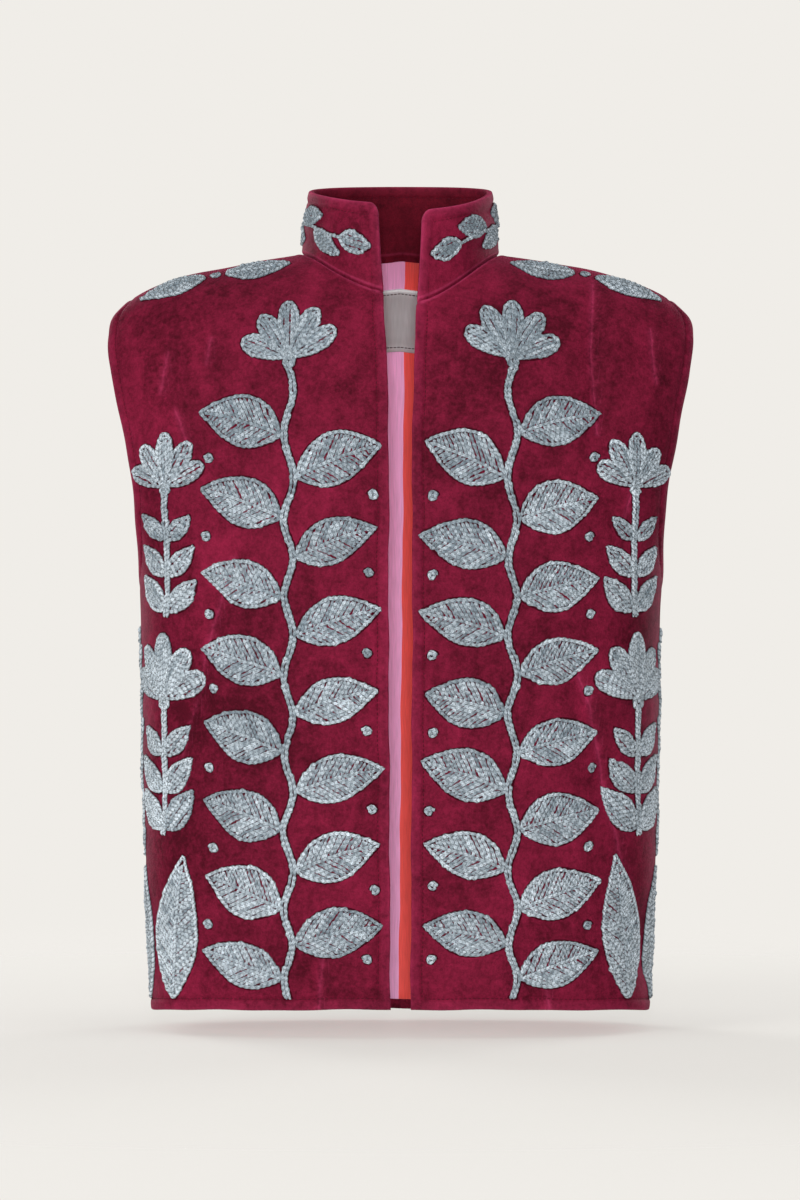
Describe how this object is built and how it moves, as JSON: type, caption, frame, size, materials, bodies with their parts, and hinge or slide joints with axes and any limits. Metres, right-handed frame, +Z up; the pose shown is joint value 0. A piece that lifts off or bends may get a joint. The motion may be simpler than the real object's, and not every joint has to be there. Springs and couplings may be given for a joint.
{
  "type": "embroidered velvet vest",
  "caption": "Sleeveless hip-length velvet vest with a standing collar and open front, filled out as worn, with an open neck, hem and armholes.",
  "frame": {"origin": "middle of the neck opening, level with the nape and in the plane of the shoulder and side seams", "axes": "+Z up along the wearer's body, -Y towards the front, +X towards the wearer's left"},
  "size_m": [0.4649, 0.2175, 0.6689],
  "materials": {
    "velvet": "crimson cotton velvet with a short mottled nap",
    "lining": "plain-woven cotton in broad pink and orange-red stripes",
    "satin": "pale grey satin ribbon, bare",
    "yarn": "thick grey-blue chain-stitched yarn",
    "thread": "dark crimson sewing thread"
  },
  "bodies": {
    "root": {"front_left": "velvet", "front_right": "velvet", "back": "velvet", "collar": "velvet", "collar_facing": "velvet", "lining_front_left": "lining", "lining_front_right": "lining", "lining_back": "lining", "label": "satin"}
  },
  "joints": []
}
